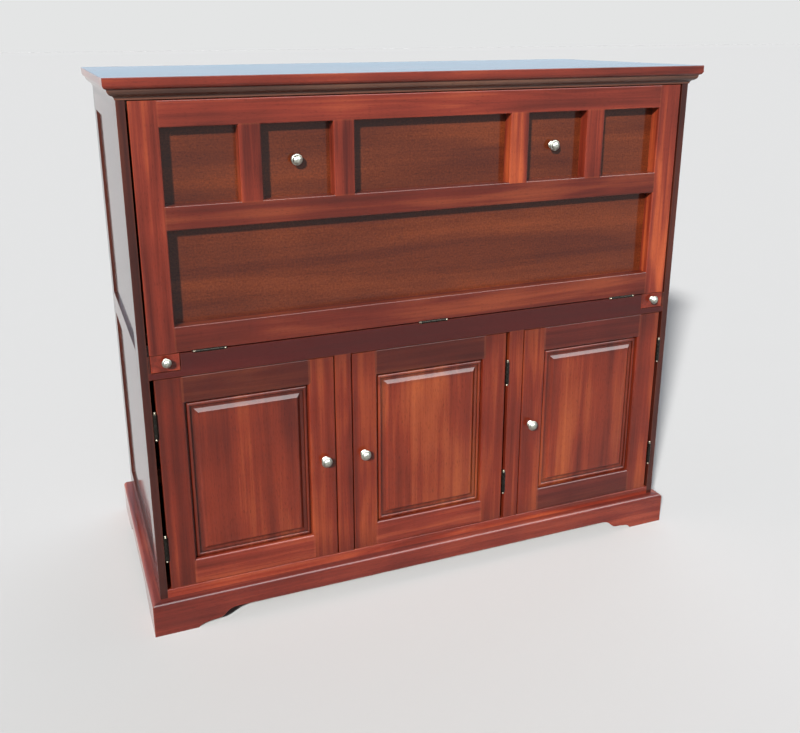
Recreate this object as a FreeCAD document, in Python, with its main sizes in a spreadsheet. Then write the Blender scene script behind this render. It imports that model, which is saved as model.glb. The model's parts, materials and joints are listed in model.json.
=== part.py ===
import FreeCAD, Part
import Sketcher
import os
import re

# A secretary desk: a framed case on a bracket plinth, three cupboard doors below,
# a fall front above that opens down onto two lopers, and a small gallery behind it.
# Frame: X across the width, Y towards the back, Z up, origin under the middle of the
# case on the floor. All sizes are in millimetres.

Vector = FreeCAD.Vector
Rotation = FreeCAD.Rotation

os.makedirs("parts", exist_ok=True)
doc = FreeCAD.newDocument("SecretaryDesk")

# ---------------------------------------------------------------- driving sizes

SIZES = {
    # overall
    "width": 1500,
    "depth": 680,
    "height": 1330,
    "overhang": 25,            # top board beyond the case, at the front and both ends
    "side_thick": 18.5,
    "frame_thick": 22,         # face frame, doors and their rails
    "board_thick": 18,
    "back_thick": 6,
    "edge_round": 1.5,         # eased arris of a planed board
    # top and crown moulding
    "top_thick": 24,
    "top_round": 9,
    "crown_high": 22,
    "crown_out": 17,
    # plinth
    "plinth_high": 88,
    "plinth_out": 22,
    "plinth_round": 9,
    "foot_length": 107,
    "arch_high": 37,
    "case_bottom": 60,
    # framed sides
    "side_stile": 62,
    "side_rail_low": 655,
    "side_rail_high": 716,
    "side_panel_thick": 8,
    "side_panel_sunk": 6,
    "groove_deep": 8,
    # cupboards
    "sill_top": 110,
    "mullion_wide": 42,
    "mullion_centre": 242.5,
    "partition_thick": 20,
    "cupboard_top": 661,
    "dust_thick": 15,
    "shelf_level": 385,
    "shelf_setback": 70,
    "cleat_wide": 15,
    "cleat_high": 20,
    # doors
    "door_wide": 430,
    "door_low": 112.5,
    "door_high": 659,
    "door_gap": 10,            # on the hinge side, filled by the hinge barrel
    "door_member": 66,
    "sticking": 6,             # rounded inner edge of the door frame
    "panel_bevel": 32,
    "panel_groove_front": 8,
    "panel_tongue": 6,
    "field_front": 2.5,
    "field_step": 1.5,
    # door hinges
    "door_hinge_long": 62,
    "door_hinge_offset": 161.25,
    "door_barrel": 4.6,
    "door_pin": 2,
    "door_pin_forward": 2,
    "leaf_wide": 20,
    # fall front
    "fall_axis": 718.2,
    "fall_thick": 40,
    "fall_board": 10,
    "fall_side_gap": 5,
    "fall_top": 1281.5,
    "fall_stile": 61.5,
    "fall_top_rail": 57,
    "fall_bottom_rail": 61.5,
    "fall_middle_low": 1001.5,
    "fall_middle_high": 1055.5,
    "mullion_inner": 228.5,
    "mullion_outer": 447,
    "fall_mullion": 51,
    "fall_edge": 2.5,
    "joint_gap": 1,            # from the hinge axis to the rail below and the fall above
    # fall hinges
    "fall_hinge_long": 68,
    "fall_hinge_spacing": 565,
    "fall_barrel": 3.2,
    "fall_pin": 1.5,
    "fall_leaf": 1.6,
    "run_gap": 0.05,           # pin in its knuckle
    "knuckle_gap": 0.4,
    # lopers
    "loper_inner": 634,
    "loper_outer": 700.5,
    "loper_low": 677,
    "loper_high": 717.9,
    "loper_long": 480,
    "loper_travel": 320,
    "guide_gap": 1,
    "guide_wide": 20,
    "peg": 4,
    "peg_setback": 455,
    "peg_high": 14,
    # knobs
    "knob": 14,
    "knob_long": 25,
    "small_knob": 9,
    "loper_knob": 11,
    "loper_knob_long": 21,
    "loper_knob_place": 666,
    "loper_knob_level": 702,
    "fall_knob_place": 338,
    "fall_knob_level": 1140,
    "door_knob_level": 386,
    "door_knob_inset": 28,     # from the free edge of the door
    # desk board and gallery
    "desk_thick": 22,
    "stop_gap": 1.5,
    "gallery_deep": 252,
    "gallery_shelf_level": 1062,
    "divider_inner": 234,
    "drawer_shelf_level": 868,
    "drawer_shelf_thick": 12,
    "drawer_gap": 2,
    "drawer_side": 10,
    "drawer_side_high": 88,
    "drawer_front": 16,
    "drawer_long": 214,
    "stop_lip": 22,
}

sheet = doc.addObject("Spreadsheet::Sheet", "Sizes")
for row, (alias, number) in enumerate(SIZES.items(), start=1):
    sheet.set(f"A{row}", str(number))
    sheet.setAlias(f"A{row}", alias)
doc.recompute()


def on_sheet(text):
    """Turn the aliases in a formula into references to the sheet."""
    return re.sub(r"[a-z_]+", r"Sizes.\g<0>", text)


def value(text):
    """What a formula on the sheet comes to, in millimetres."""
    return float(sheet.evalExpression(on_sheet(text)))


def bind(thing, **formulas):
    """Bind properties of an object to formulas on the sheet."""
    for name, text in formulas.items():
        thing.setExpression(name, on_sheet(text))


def place(thing, x="0", y="0", z="0", rotation=None):
    """Put an object at a point given by formulas, turned first if need be."""
    if rotation is not None:
        thing.Placement = FreeCAD.Placement(Vector(0, 0, 0), rotation)
    for axis, text in zip("xyz", (x, y, z)):
        thing.setExpression(f".Placement.Base.{axis}", on_sheet(text))
    return thing


# ---------------------------------------------------------------- derived places

FACE = "(overhang - depth / 2)"                # front plane of the face frame
BACK = "(depth / 2)"
CASE = "(width / 2 - overhang)"                # outside of the framed sides
INNER = "(width / 2 - overhang - side_thick)"  # inside of the framed sides
FRAME_BACK = f"({FACE} + frame_thick)"
BACK_PANEL = f"({BACK} - back_thick)"
CASE_TOP = "(height - top_thick)"
CROWN_LOW = "(height - top_thick - crown_high)"
RAIL_TOP = "(fall_axis - joint_gap)"
FALL_LOW = "(fall_axis + joint_gap)"
FALL_SIDE = f"({INNER} - fall_side_gap)"
DESK_TOP = "(fall_axis + fall_thick)"
DESK_LOW = "(fall_axis + fall_thick - desk_thick)"
DESK_FRONT = f"({FACE} + fall_thick + stop_gap)"
RAIL_BACK = f"({DESK_FRONT} + board_thick)"
DUST_TOP = "(cupboard_top + dust_thick)"
GALLERY = f"({BACK_PANEL} - gallery_deep)"
DIVIDER_OUTER = "(divider_inner + board_thick)"
MULLION_LOW = "(mullion_centre - mullion_wide / 2)"
MULLION_HIGH = "(mullion_centre + mullion_wide / 2)"
PARTITION_LOW = "(mullion_centre - partition_thick / 2)"
PARTITION_HIGH = "(mullion_centre + partition_thick / 2)"

SIDES = {"left": -1, "right": 1}
NODES = []


# ---------------------------------------------------------------- ways of making a piece

def block(name, x, y, z):
    """A board between two formulas along each axis."""
    box = doc.addObject("Part::Box", name)
    for extent, (low, high) in (("Length", x), ("Width", y), ("Height", z)):
        box.setExpression(extent, on_sheet(f"({high}) - ({low})"))
    return place(box, x[0], y[0], z[0])


def across(side, low, high):
    """The X formulas of a piece on one side of the middle plane."""
    if side > 0:
        return (low, high)
    return (f"(-{high})", f"(-{low})")


def cylinder(name, radius, low, high):
    """A round bar along the local Z axis."""
    bar = doc.addObject("Part::Cylinder", name)
    bind(bar, Radius=radius, Height=f"({high}) - ({low})")
    return place(bar, z=low)


def cut(name, base, *tools):
    """A piece with other shapes taken out of it."""
    result = base
    for number, tool in enumerate(tools):
        step = doc.addObject("Part::Cut", f"{name}_cut{number}")
        step.Base = result
        step.Tool = tool
        result = step
    return result


def join(name, *pieces):
    """Several shapes as one solid."""
    fused = doc.addObject("Part::MultiFuse", name)
    fused.Shapes = list(pieces)
    fused.Refine = True
    return fused


def rounded(name, base, radius, *edges):
    """A board whose edges at the given coordinates are rounded.

    Each edge is a dictionary of the two coordinates that stay the same along it.
    """
    doc.recompute()
    size = value(radius)
    chosen = []
    for number, edge in enumerate(base.Shape.Edges, start=1):
        for wanted in edges:
            level = {axis: value(text) for axis, text in wanted.items()}
            if all(abs(getattr(v.Point, a) - c) < 0.01 for v in edge.Vertexes for a, c in level.items()):
                chosen.append((number, size, size))
    result = doc.addObject("Part::Fillet", name)
    result.Base = base
    result.Edges = chosen
    return result


def copy_of(name, master, x="0", y="0", z="0", rotation=None):
    """The same piece again, in another place."""
    link = doc.addObject("App::Link", name)
    link.LinkedObject = master
    return place(link, x, y, z, rotation)


def node(label, *pieces):
    """A named sub-part of one or more separate solids."""
    if len(pieces) == 1 and pieces[0].TypeId != "App::Link":
        part = pieces[0]
    else:
        part = doc.addObject("Part::Compound", label)
        part.Links = list(pieces)
    part.Label = label
    NODES.append(part)
    return part


def outline(body, name, plane, corners):
    """A closed sketch through corners given as formulas.

    A corner is (x, y) or (x, y, radius): the radius is that of the arc that leads to the
    next corner, positive when the arc bulges to the right of the way it is drawn.
    """
    sketch = body.newObject("Sketcher::SketchObject", name)
    origin_plane = next(f for f in body.Origin.OriginFeatures if f.Role == plane)
    sketch.AttachmentSupport = (origin_plane, [""])
    sketch.MapMode = "FlatFace"
    points = [Vector(value(c[0]), value(c[1]), 0) for c in corners]
    ends = []
    for number, corner in enumerate(corners):
        start = points[number]
        stop = points[(number + 1) % len(points)]
        if len(corner) == 2:
            line = sketch.addGeometry(Part.LineSegment(start, stop))
            ends.append((line, 1, 2))
            continue
        radius = value(corner[2])
        chord = stop - start
        right = Vector(chord.y, -chord.x, 0).normalize()
        half = chord.Length / 2
        sink = (radius ** 2 - half ** 2) ** 0.5
        sign = 1 if radius > 0 else -1
        crest = start + chord * 0.5 + right * sign * (abs(radius) - sink)
        if sign > 0:
            arc = sketch.addGeometry(Part.Arc(start, crest, stop))
            ends.append((arc, 1, 2))
        else:
            arc = sketch.addGeometry(Part.Arc(stop, crest, start))
            ends.append((arc, 2, 1))
        size = sketch.addConstraint(Sketcher.Constraint("Radius", arc, abs(radius)))
        sketch.setExpression(f"Constraints[{size}]", on_sheet(f"{sign} * ({corner[2]})"))
    for number, (piece, start, _) in enumerate(ends):
        before, _, stop = ends[number - 1]
        sketch.addConstraint(Sketcher.Constraint("Coincident", before, stop, piece, start))
        for kind, text in zip(("DistanceX", "DistanceY"), corners[number]):
            put = sketch.addConstraint(Sketcher.Constraint(kind, -1, 1, piece, start, value(text)))
            sketch.setExpression(f"Constraints[{put}]", on_sheet(text))
    return sketch


def new_body(name):
    return doc.addObject("PartDesign::Body", name)


def pad(body, sketch, length, midplane=False):
    """Extrude a sketch along its own normal."""
    feature = body.newObject("PartDesign::Pad", body.Name + "_pad")
    feature.Profile = sketch
    feature.Midplane = midplane
    bind(feature, Length=length)
    return feature


def moulding(name, profile, length, start_mitre, end_mitre, reach, height):
    """A moulding run along local X with its wall at local y = 0, facing -Y.

    The ends are square, or mitred so that the face is longer than the wall.
    """
    body = new_body(name + "_run")
    pad(body, outline(body, name + "_profile", "YZ_Plane", profile), f"{length} + 2 * {reach}")
    place(body, x=f"-{reach}")
    mitre = doc.addObject("Part::Wedge", name + "_mitre")
    first = f"-{reach}" if start_mitre else "0"
    last = f"{length} + {reach}" if end_mitre else length
    bind(mitre, Ymin=f"-{reach}", Ymax="0", Zmin="0", Zmax=height, Z2min="0", Z2max=height)
    bind(mitre, Xmin=first, Xmax=last, X2min="0", X2max=length)
    fitted = doc.addObject("Part::Common", name + "_fitted")
    fitted.Base = body
    fitted.Tool = mitre
    return fitted


TURN_TO_LEFT = Rotation(Vector(0, 0, 1), -90)
TURN_TO_RIGHT = Rotation(Vector(0, 0, 1), 90)


def three_sided(kind, make):
    """A front length and two returns of a moulding, mitred at the front corners."""
    run = f"({BACK} - {FACE})"
    front = make(kind + "_front_piece", f"(2 * {CASE})", True, True)
    place(front, f"-{CASE}", FACE)
    node(kind + "_front", front)
    left = make(kind + "_left_piece", run, False, True)
    place(left, f"-{CASE}", BACK, rotation=TURN_TO_LEFT)
    right = make(kind + "_right_piece", run, True, False)
    place(right, CASE, FACE, rotation=TURN_TO_RIGHT)
    node(kind + "_returns", left, right)


# ---------------------------------------------------------------- top and crown

def make_top_board():
    """The top board: a small upright edge over a wide rounded underside."""
    half = "(width / 2)"
    front = "(-depth / 2)"
    board = block("top_blank", (f"-{half}", half), (front, BACK), (CASE_TOP, "height"))
    under = rounded("top_under", board, "top_round", {"y": front, "z": CASE_TOP},
                    {"x": f"-{half}", "z": CASE_TOP}, {"x": half, "z": CASE_TOP})
    eased = rounded("top_eased", under, "edge_round", {"y": front, "z": "height"},
                    {"x": f"-{half}", "z": "height"}, {"x": half, "z": "height"})
    node("top_board", eased)


def crown_length(name, length, start_mitre, end_mitre):
    """Crown moulding: a convex upper half running into a hollow above the case."""
    low, top, out = CROWN_LOW, CASE_TOP, "crown_out"
    profile = [
        ("0", low),
        ("-2", low),
        ("-2", f"{low} + 2", "9"),
        ("-9", f"{low} + 9", "-13"),
        (f"-{out}", f"{top} - 2"),
        (f"-{out}", top),
        ("0", top),
    ]
    return moulding(name, profile, length, start_mitre, end_mitre, out, "height")


# ---------------------------------------------------------------- plinth

def plinth_length(name, length, start_mitre, end_mitre):
    """Plinth board with a rounded top arris and a scrolled foot at each end."""
    out, top, arch = "plinth_out", "plinth_high", "arch_high"
    profile = [
        ("0", "0"),
        ("0", top),
        (f"-{out} + plinth_round", top, "plinth_round"),
        (f"-{out}", f"{top} - plinth_round"),
        (f"-{out}", "0"),
    ]
    run = moulding(name, profile, length, start_mitre, end_mitre, out, "height")
    first = f"(foot_length - {out})" if start_mitre else "foot_length"
    last = f"({length} - foot_length + {out})" if end_mitre else f"({length} - foot_length)"
    opening = [
        (first, "-1"),
        (first, "0", "-28"),
        (f"{first} + 23", "11", "-120"),
        (f"{first} + 49", "13.5", "30"),
        (f"{first} + 71", "26", "-40"),
        (f"{first} + 98", arch),
        (f"{last} - 98", arch, "-40"),
        (f"{last} - 71", "26", "30"),
        (f"{last} - 49", "13.5", "-120"),
        (f"{last} - 23", "11", "-28"),
        (last, "0"),
        (last, "-1"),
    ]
    body = new_body(name + "_arch")
    pad(body, outline(body, name + "_scroll", "XZ_Plane", opening), f"4 * {out}", midplane=True)
    return cut(name, run, body)


def make_plinth_braces():
    """The rail across the back and the glue blocks in the four corners."""
    blocks = [block("plinth_rail", (f"-{CASE}", CASE), (f"{BACK} - frame_thick", BACK),
                    ("arch_high", "case_bottom"))]
    deep = "case_bottom"
    for name, side in SIDES.items():
        x = across(side, f"({CASE} - {deep})", CASE)
        blocks.append(block(name + "_front_block", x, (FACE, f"{FACE} + {deep}"), ("0", "case_bottom")))
        back_y = (f"{BACK} - frame_thick - {deep}", f"{BACK} - frame_thick")
        blocks.append(block(name + "_back_block", x, back_y, ("0", "case_bottom")))
    node("plinth_braces", *blocks)


# ---------------------------------------------------------------- framed sides

def make_side(name, side):
    """Two stiles and three rails around an upper and a lower flat panel."""
    x = across(side, INNER, CASE)
    panel_high = f"({CASE} - side_panel_sunk)"
    panel_x = across(side, f"({panel_high} - side_panel_thick)", panel_high)
    front = (FACE, f"({FACE} + side_stile)")
    back = (f"({BACK} - side_stile)", BACK)
    levels = {
        "bottom": ("case_bottom", "(plinth_high + side_stile)"),
        "middle": ("side_rail_low", "side_rail_high"),
        "top": (f"({CROWN_LOW} - side_stile)", CASE_TOP),
    }
    panels = []
    grooves = []
    for part, low, high in (("lower", levels["bottom"][1], levels["middle"][0]),
                            ("upper", levels["middle"][1], levels["top"][0])):
        y = (f"{front[1]} - groove_deep", f"{back[0]} + groove_deep")
        z = (f"{low} - groove_deep", f"{high} + groove_deep")
        panels.append(block(f"{name}_{part}_panel", panel_x, y, z))
        grooves.append(block(f"{name}_{part}_groove", panel_x, y, z))
    stiles = []
    for part, y in (("front", front), ("back", back)):
        blank = block(f"{name}_{part}_stile_blank", x, y, ("case_bottom", CASE_TOP))
        outer = CASE if side > 0 else f"-{CASE}"
        inner_y = y[1] if part == "front" else y[0]
        outer_y = y[0] if part == "front" else y[1]
        eased = rounded(f"{name}_{part}_stile_eased", blank, "edge_round",
                        {"x": outer, "y": inner_y}, {"x": outer, "y": outer_y})
        stiles.append(cut(f"{name}_{part}_stile", eased, *grooves))
    rails = []
    for part, z in levels.items():
        blank = block(f"{name}_{part}_rail_blank", x, (front[1], back[0]), z)
        rails.append(cut(f"{name}_{part}_rail", blank, *grooves))
    node(f"{name}_side_stiles", *stiles)
    node(f"{name}_side_rails", *rails)
    node(f"{name}_side_panels", *panels)


# ---------------------------------------------------------------- face frame and boards

def make_face_frame():
    """Mullions, bottom rail, and the rebated top rail that the fall closes against."""
    z = ("sill_top", "cupboard_top")
    mullions = []
    for name, side in SIDES.items():
        x = across(side, MULLION_LOW, MULLION_HIGH)
        blank = block(name + "_mullion_blank", x, (FACE, FRAME_BACK), z)
        mullions.append(rounded(name + "_mullion", blank, "edge_round",
                                {"x": x[0], "y": FACE}, {"x": x[1], "y": FACE}))
    node("face_mullions", *mullions)
    sill = block("sill_blank", (f"-{INNER}", INNER), (FACE, FRAME_BACK), ("case_bottom", "sill_top"))
    node("bottom_rail", rounded("sill_eased", sill, "edge_round", {"y": FACE, "z": "sill_top"}))
    rail = block("top_rail_blank", (f"-{INNER}", INNER), (FACE, RAIL_BACK), (CROWN_LOW, CASE_TOP))
    lip = block("top_rail_lip", (f"-{INNER}", INNER), (DESK_FRONT, RAIL_BACK),
                (f"({CROWN_LOW} - stop_lip)", CROWN_LOW))
    node("top_rail", join("top_rail_joined", rail, lip))


def make_boards():
    """The level boards, partitions and backs inside the case."""
    full = (f"-{INNER}", INNER)
    behind_frame = (FRAME_BACK, BACK_PANEL)
    node("bottom_board", block("bottom_plank", full, behind_frame, ("sill_top - board_thick", "sill_top")))
    node("dust_board", block("dust_plank", full, behind_frame, ("cupboard_top", DUST_TOP)))
    desk = block("desk_plank", full, (DESK_FRONT, BACK_PANEL), (DESK_LOW, DESK_TOP))
    node("desk_board", rounded("desk_eased", desk, "edge_round", {"y": DESK_FRONT, "z": DESK_TOP}))
    partitions = []
    for name, side in SIDES.items():
        x = across(side, PARTITION_LOW, PARTITION_HIGH)
        partitions.append(block(name + "_partition", x, behind_frame, ("sill_top", "cupboard_top")))
    node("partitions", *partitions)
    split = f"({DESK_LOW} + desk_thick / 2)"
    node("back_panels", block("lower_back", full, (BACK_PANEL, BACK), ("sill_top - board_thick", split)),
         block("upper_back", full, (BACK_PANEL, BACK), (split, CASE_TOP)))


def make_cupboard_shelves():
    """One shelf in each cupboard, on two cleats."""
    front = f"({FACE} + shelf_setback)"
    y = (front, BACK_PANEL)
    z = ("shelf_level", "shelf_level + board_thick")
    bays = {
        "left": (f"(-{INNER} + 1)", f"(-{PARTITION_HIGH} - 1)"),
        "middle": (f"(1 - {PARTITION_LOW})", f"({PARTITION_LOW} - 1)"),
        "right": (f"({PARTITION_HIGH} + 1)", f"({INNER} - 1)"),
    }
    shelves = []
    cleats = []
    cleat_z = ("shelf_level - cleat_high", "shelf_level")
    for name, (low, high) in bays.items():
        plank = block(name + "_shelf_blank", (low, high), y, z)
        shelves.append(rounded(name + "_shelf", plank, "edge_round", {"y": front, "z": z[1]}))
        cleats.append(block(name + "_cleat_a", (f"({low} - 1)", f"({low} - 1 + cleat_wide)"), y, cleat_z))
        cleats.append(block(name + "_cleat_b", (f"({high} + 1 - cleat_wide)", f"({high} + 1)"), y, cleat_z))
    node("cupboard_shelves", *shelves)
    node("shelf_cleats", *cleats)


# ---------------------------------------------------------------- hinges

# A butt hinge lies along local Z with its pin axis at the origin. The fixed leaf is at +X and
# both leaves run towards +Y. plate is the pair of distances from the axis between which a leaf lies.

def make_hinge(name, length, barrel, pin, plate, reach, finial):
    """Fixed leaf, moving leaf and pin of one hinge, as masters to be copied."""
    half = f"({length} / 2)"
    third = f"({length} / 6)"
    outer = [(f"-{half}", f"(-{third} - knuckle_gap / 2)"), (f"({third} + knuckle_gap / 2)", half)]
    inner = [(f"(-{third} + knuckle_gap / 2)", f"({third} - knuckle_gap / 2)")]
    leaves = {}
    for kind, side, own, other in (("fixed", 1, outer, inner), ("moving", -1, inner, outer)):
        leaf = f"{name}_{kind}"
        sheet_metal = block(leaf + "_plate", across(side, *plate), ("0", reach), (f"-{half}", half))
        rings = [cylinder(f"{leaf}_ring{i}", barrel, *z) for i, z in enumerate(own)]
        blank = join(leaf + "_blank", sheet_metal, *rings)
        bore = cylinder(leaf + "_bore", f"({pin} + run_gap)", f"-{length}", length)
        rooms = []
        for i, (low, high) in enumerate(other):
            room = (f"({low} - knuckle_gap)", f"({high} + knuckle_gap)")
            rooms.append(cylinder(f"{leaf}_room{i}", f"({barrel} + knuckle_gap)", *room))
        leaves[kind] = cut(leaf, blank, bore, *rooms)
    tip = f"({half} + {finial})"
    shank = cylinder(name + "_shank", pin, f"-{tip}", tip)
    balls = []
    for end, sign in (("lower", "-"), ("upper", "")):
        ball = doc.addObject("Part::Sphere", f"{name}_{end}_finial")
        bind(ball, Radius=finial)
        balls.append(place(ball, z=f"{sign}({half} + {finial} + 0.5)"))
    leaves["pin"] = join(name + "_pin", shank, *balls)
    return leaves


FLIPPED = Rotation(Vector(0, 1, 0), 180)
LAID_DOWN = Rotation(Vector(0, 1, 0), 90)
HINGE_Y = f"({FACE} - door_pin_forward)"
DOOR_MIDDLE = "((door_low + door_high) / 2)"
HINGE_LEVELS = {"lower": f"({DOOR_MIDDLE} - door_hinge_offset)",
                "upper": f"({DOOR_MIDDLE} + door_hinge_offset)"}
FALL_HINGES = {"left": "(-fall_hinge_spacing)", "middle": "0", "right": "fall_hinge_spacing"}

# Each door: its hinged edge, the side of the door that edge is on, and the hinge axis.
DOORS = {
    "left": (-1, f"(-{INNER})"),
    "middle": (1, MULLION_LOW),
    "right": (1, INNER),
}


def place_hinges(door_hinge, fall_hinge):
    """The fixed leaves and the pins. The moving leaves belong to the doors and the fall."""
    leaves = []
    pins = []
    for name, (side, edge) in DOORS.items():
        axis = f"({edge} - {side} * door_gap / 2)"
        turn = None if side > 0 else FLIPPED
        for level, z in HINGE_LEVELS.items():
            leaves.append(copy_of(f"{name}_{level}_fixed_leaf", door_hinge["fixed"], axis, HINGE_Y, z, turn))
            pins.append(copy_of(f"{name}_{level}_pin", door_hinge["pin"], axis, HINGE_Y, z, turn))
    for name, x in FALL_HINGES.items():
        where = (x, FACE, "fall_axis", LAID_DOWN)
        leaves.append(copy_of(name + "_rail_leaf", fall_hinge["fixed"], *where))
        pins.append(copy_of(name + "_fall_pin", fall_hinge["pin"], *where))
    node("hinge_fixed_leaves", *leaves)
    node("hinge_pins", *pins)


def hinge_seats(name, side):
    """What is cut from the rail (side -1) or the fall (side 1) for the three fall hinges."""
    seats = []
    for place_name, x in FALL_HINGES.items():
        leaf_x = (f"({x} - fall_hinge_long / 2)", f"({x} + fall_hinge_long / 2)")
        slot_x = (f"({leaf_x[0]} - 8)", f"({leaf_x[1]} + 8)")
        for kind, across_x, deep, high in (("leaf", leaf_x, "leaf_wide", "(joint_gap + fall_leaf)"),
                                           ("slot", slot_x, "(fall_barrel + 0.6)", "(fall_barrel + 0.6)")):
            z = ("fall_axis", f"(fall_axis + {high})") if side > 0 else (f"(fall_axis - {high})", "fall_axis")
            y = (f"({FACE} - 1)", f"({FACE} + {deep})")
            seats.append(block(f"{name}_{place_name}_{kind}_seat", across_x, y, z))
    return seats


def make_desk_rail():
    """The rail under the fall, stepped over the dust board and under the desk board.

    It is notched at both ends for the lopers.
    """
    full = (f"-{INNER}", INNER)
    face = block("desk_rail_face", full, (FACE, FRAME_BACK), ("cupboard_top", RAIL_TOP))
    bed = block("desk_rail_bed", full, (FRAME_BACK, RAIL_BACK), (DUST_TOP, RAIL_TOP))
    ledge = block("desk_rail_ledge", full, (DESK_FRONT, RAIL_BACK), (RAIL_TOP, DESK_LOW))
    blank = join("desk_rail_blank", face, bed, ledge)
    notches = []
    for name, side in SIDES.items():
        x = across(side, "(loper_inner - guide_gap)", INNER)
        notches.append(block(name + "_notch", x, (f"({FACE} - 1)", f"({RAIL_BACK} + 1)"),
                             (DUST_TOP, DESK_LOW)))
    node("desk_rail", cut("desk_rail_cut", blank, *notches, *hinge_seats("rail", -1)))


# ---------------------------------------------------------------- knobs

def make_knob(name, radius, length):
    """A turned knob along local Z: foot, waist and a flattened round head."""
    body = new_body(name)
    neck = f"(0.32 * {radius})"
    foot = f"(0.6 * {radius})"
    cap = (f"(0.9 * {radius})", f"(0.16 * {length})")
    cap_radius = f"({cap[0]} ^ 2 + {cap[1]} ^ 2) / (2 * {cap[1]})"
    corners = [
        ("0", "0"),
        (foot, "0"),
        (foot, f"0.09 * {length}", "-5"),
        (neck, f"0.3 * {length}"),
        (neck, f"0.4 * {length}", "-6"),
        (f"0.8 * {radius}", f"0.52 * {length}", f"0.4 * {radius}"),
        (cap[0], f"{length} - {cap[1]}", cap_radius),
        ("0", length),
    ]
    profile = outline(body, name + "_profile", "XZ_Plane", corners)
    turned = body.newObject("PartDesign::Revolution", name + "_turned")
    turned.Profile = profile
    turned.ReferenceAxis = (profile, ["V_Axis"])
    turned.Angle = 360
    return body


FACING_FRONT = Rotation(Vector(1, 0, 0), 90)


def fit_knob(name, master, x, y, z):
    """A knob standing out of a front at the given place."""
    return copy_of(name, master, x, y, z, FACING_FRONT)


# ---------------------------------------------------------------- doors

def make_door(name, side, edge, knob, hinge):
    """A framed door with a raised panel, hinged at the edge given."""
    hinged = f"({edge} - {side} * door_gap)"
    free = f"({hinged} - {side} * door_wide)"
    left, right = (free, hinged) if side > 0 else (hinged, free)
    y = (FACE, FRAME_BACK)
    opening_x = (f"({left} + door_member)", f"({right} - door_member)")
    opening_z = ("(door_low + door_member)", "(door_high - door_member)")
    groove_y = (f"({FACE} + panel_groove_front)", f"({FACE} + panel_groove_front + panel_tongue)")
    groove_x = (f"({opening_x[0]} - groove_deep)", f"({opening_x[1]} + groove_deep)")
    groove_z = (f"({opening_z[0]} - groove_deep)", f"({opening_z[1]} + groove_deep)")
    groove = block(f"{name}_door_groove", groove_x, groove_y, groove_z)
    stiles = []
    for part, x in (("left", (left, opening_x[0])), ("right", (opening_x[1], right))):
        member = f"{name}_door_{part}_stile"
        inner, outer = (x[1], x[0]) if part == "left" else (x[0], x[1])
        blank = block(member + "_blank", x, y, ("door_low", "door_high"))
        stuck = rounded(member + "_stuck", blank, "sticking", {"x": inner, "y": FACE})
        eased = rounded(member + "_eased", stuck, "edge_round", {"x": outer, "y": FACE})
        stiles.append(cut(member, eased, groove))
    rails = []
    scribed_x = (f"({opening_x[0]} - sticking)", f"({opening_x[1]} + sticking)")
    for part, z in (("bottom", ("door_low", opening_z[0])), ("top", (opening_z[1], "door_high"))):
        member = f"{name}_door_{part}_rail"
        inner, outer = (z[1], z[0]) if part == "bottom" else (z[0], z[1])
        blank = block(member + "_blank", scribed_x, y, z)
        stuck = rounded(member + "_stuck", blank, "sticking", {"y": FACE, "z": inner})
        eased = rounded(member + "_eased", stuck, "edge_round", {"y": FACE, "z": outer})
        rails.append(cut(member, eased, *stiles, groove))
    node(f"{name}_door_stiles", *stiles)
    node(f"{name}_door_rails", *rails)
    node(f"{name}_door_panel", raised_panel(name, opening_x, opening_z, groove_y))
    knob_x = f"({free} + {side} * door_knob_inset)"
    node(f"{name}_door_knob", fit_knob(f"{name}_door_knob_fitted", knob, knob_x, FACE, "door_knob_level"))
    turn = None if side > 0 else FLIPPED
    axis = f"({edge} - {side} * door_gap / 2)"
    leaves = [copy_of(f"{name}_{level}_moving_leaf", hinge["moving"], axis, HINGE_Y, z, turn)
              for level, z in HINGE_LEVELS.items()]
    node(f"{name}_door_hinge_leaves", *leaves)


def raised_panel(name, x, z, tongue_y):
    """A panel with a tongue all round, a bevel, and a field raised by a small step."""
    tongue_x = (f"({x[0]} - groove_deep + 1)", f"({x[1]} + groove_deep - 1)")
    tongue_z = (f"({z[0]} - groove_deep + 1)", f"({z[1]} + groove_deep - 1)")
    tongue = block(f"{name}_panel_tongue", tongue_x, tongue_y, tongue_z)
    field_x = (f"({x[0]} + panel_bevel)", f"({x[1]} - panel_bevel)")
    field_z = (f"({z[0]} + panel_bevel)", f"({z[1]} - panel_bevel)")
    step_y = f"({FACE} + field_front + field_step)"
    bevel = doc.addObject("Part::Wedge", f"{name}_panel_bevel")
    bind(bevel, Xmin=field_x[0], Xmax=field_x[1], Zmin=field_z[0], Zmax=field_z[1], Ymin=step_y)
    bind(bevel, X2min=x[0], X2max=x[1], Z2min=z[0], Z2max=z[1], Ymax=tongue_y[0])
    field = block(f"{name}_panel_field", field_x, (f"({FACE} + field_front)", step_y), field_z)
    return join(f"{name}_raised_panel", tongue, bevel, field)


# ---------------------------------------------------------------- fall front

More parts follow.
